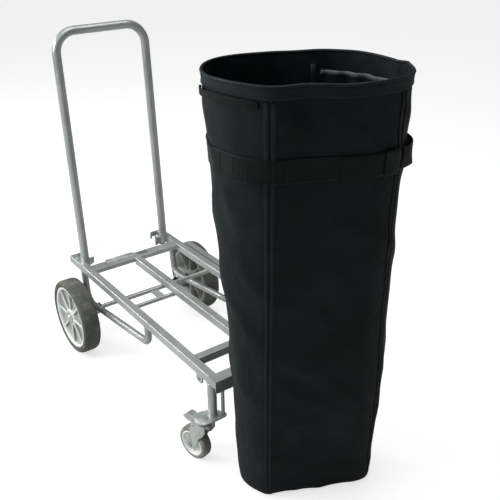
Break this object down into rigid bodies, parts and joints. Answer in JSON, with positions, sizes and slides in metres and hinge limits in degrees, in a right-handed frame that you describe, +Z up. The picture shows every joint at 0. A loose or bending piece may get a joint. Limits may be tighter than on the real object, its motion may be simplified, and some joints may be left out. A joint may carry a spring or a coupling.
{
  "type": "housekeeping cart",
  "caption": "Tubular steel deck cart with a push handle, large rear wheels, braked swivel casters and a free-standing linen bag.",
  "frame": {"origin": "middle of the footprint, on the floor", "axes": "+Y towards the push handle, -Y towards the casters and the bag, +Z up, +X to the right of someone who stands at the handle's far side looking along +Y"},
  "size_m": [0.5495, 1.2764, 1.11],
  "materials": {
    "frame_paint": "silver-grey powder coat",
    "bright_steel": "bright zinc plate on fasteners and the axle",
    "dark_steel": "black oxide set collars",
    "zinc_steel": "zinc-plated pressings",
    "rear_tyre_rubber": "scuffed dark grey rubber",
    "hub_plastic": "light grey moulded nylon",
    "bush_plastic": "natural acetal",
    "caster_tyre_rubber": "grey non-marking rubber",
    "caster_hub_plastic": "light grey nylon",
    "bag_fabric": "black coated woven fabric",
    "webbing": "black woven webbing",
    "board_plastic": "black corrugated plastic board"
  },
  "bodies": {
    "frame": {"nose_angle": "frame_paint", "centre_rail": "frame_paint", "rear_cross_member": "frame_paint", "blank_plate": "bright_steel", "blank_plate_rivets": "bright_steel", "deck_bolts": "bright_steel", "rear_stay_bar": "frame_paint", "front_stay_bar": "frame_paint", "bridge_plate": "frame_paint", "handle": "frame_paint", "axle": "bright_steel", "axle_collars": "dark_steel", "side_strip": "frame_paint", "strip_bolts": "bright_steel", "leg_stays": "frame_paint", "strap_lugs": "frame_paint", "side_rail_left": "frame_paint", "side_rail_right": "frame_paint", "rail_end_plate_left": "frame_paint", "rail_end_plate_right": "frame_paint", "front_cross_tube_left": "frame_paint", "front_cross_tube_right": "frame_paint", "handle_gusset_left": "frame_paint", "handle_gusset_right": "frame_paint", "side_hoop_left": "frame_paint", "side_hoop_right": "frame_paint", "axle_bracket_left": "frame_paint", "axle_bracket_right": "frame_paint", "front_leg_left": "frame_paint", "front_leg_right": "frame_paint", "leg_gusset_left": "frame_paint", "leg_gusset_right": "frame_paint", "mount_plate_left": "zinc_steel", "mount_plate_right": "zinc_steel", "swivel_mount_left": "zinc_steel", "swivel_mount_right": "zinc_steel"},
    "rear_wheel_left": {"rear_tyre_left": "rear_tyre_rubber", "rear_hub_left": "hub_plastic", "hub_bushes_left": "bush_plastic", "hub_cap_left": "hub_plastic"},
    "caster_left": {"fork_left": "zinc_steel", "fork_pins_left": "bright_steel"},
    "caster_wheel_left": {"caster_tyre_left": "caster_tyre_rubber", "caster_hub_left": "caster_hub_plastic"},
    "brake_left": {"brake_pedal_left": "zinc_steel"},
    "rear_wheel_right": {"rear_tyre_right": "rear_tyre_rubber", "rear_hub_right": "hub_plastic", "hub_bushes_right": "bush_plastic", "hub_cap_right": "hub_plastic"},
    "caster_right": {"fork_right": "zinc_steel", "fork_pins_right": "bright_steel"},
    "caster_wheel_right": {"caster_tyre_right": "caster_tyre_rubber", "caster_hub_right": "caster_hub_plastic"},
    "brake_right": {"brake_pedal_right": "zinc_steel"},
    "bag": {"bag_shell": "bag_fabric", "bag_hem": "bag_fabric", "bag_belt": "webbing", "bag_grips": "webbing", "bag_board": "board_plastic"}
  },
  "joints": [
    {"name": "rear_wheel_left_spin", "type": "hinge", "parent": "frame", "child": "rear_wheel_left", "pos_m": [-0.22775, 0.50717, 0.127], "axis": [1, 0, 0], "continuous": true},
    {"name": "caster_left_swivel", "type": "hinge", "parent": "frame", "child": "caster_left", "pos_m": [-0.18925, -0.21783, 0.13], "axis": [0, 0, 1], "continuous": true},
    {"name": "caster_wheel_left_spin", "type": "hinge", "parent": "caster_left", "child": "caster_wheel_left", "pos_m": [-0.19715, -0.18066, 0.05], "axis": [0.9781, 0.2079, 0], "continuous": true},
    {"name": "brake_left_press", "type": "hinge", "parent": "caster_left", "child": "brake_left", "pos_m": [-0.19465, -0.1924, 0.1214], "axis": [0.9781, 0.2079, 0], "range_deg": [-12, 0], "stiffness_Nm_per_rad": 0.3},
    {"name": "rear_wheel_right_spin", "type": "hinge", "parent": "frame", "child": "rear_wheel_right", "pos_m": [0.24125, 0.50717, 0.127], "axis": [1, 0, 0], "continuous": true},
    {"name": "caster_right_swivel", "type": "hinge", "parent": "frame", "child": "caster_right", "pos_m": [0.20275, -0.21783, 0.13], "axis": [0, 0, 1], "continuous": true},
    {"name": "caster_wheel_right_spin", "type": "hinge", "parent": "caster_right", "child": "caster_wheel_right", "pos_m": [0.2087, -0.1803, 0.05], "axis": [0.9877, -0.1564, 0], "continuous": true},
    {"name": "brake_right_press", "type": "hinge", "parent": "caster_right", "child": "brake_right", "pos_m": [0.20682, -0.19215, 0.1214], "axis": [0.9877, -0.1564, 0], "range_deg": [-12, 0], "stiffness_Nm_per_rad": 0.3},
    {"name": "bag_lift", "type": "slide", "parent": "frame", "child": "bag", "axis": [0, 0, 1], "range_m": [0, 0.3]}
  ]
}
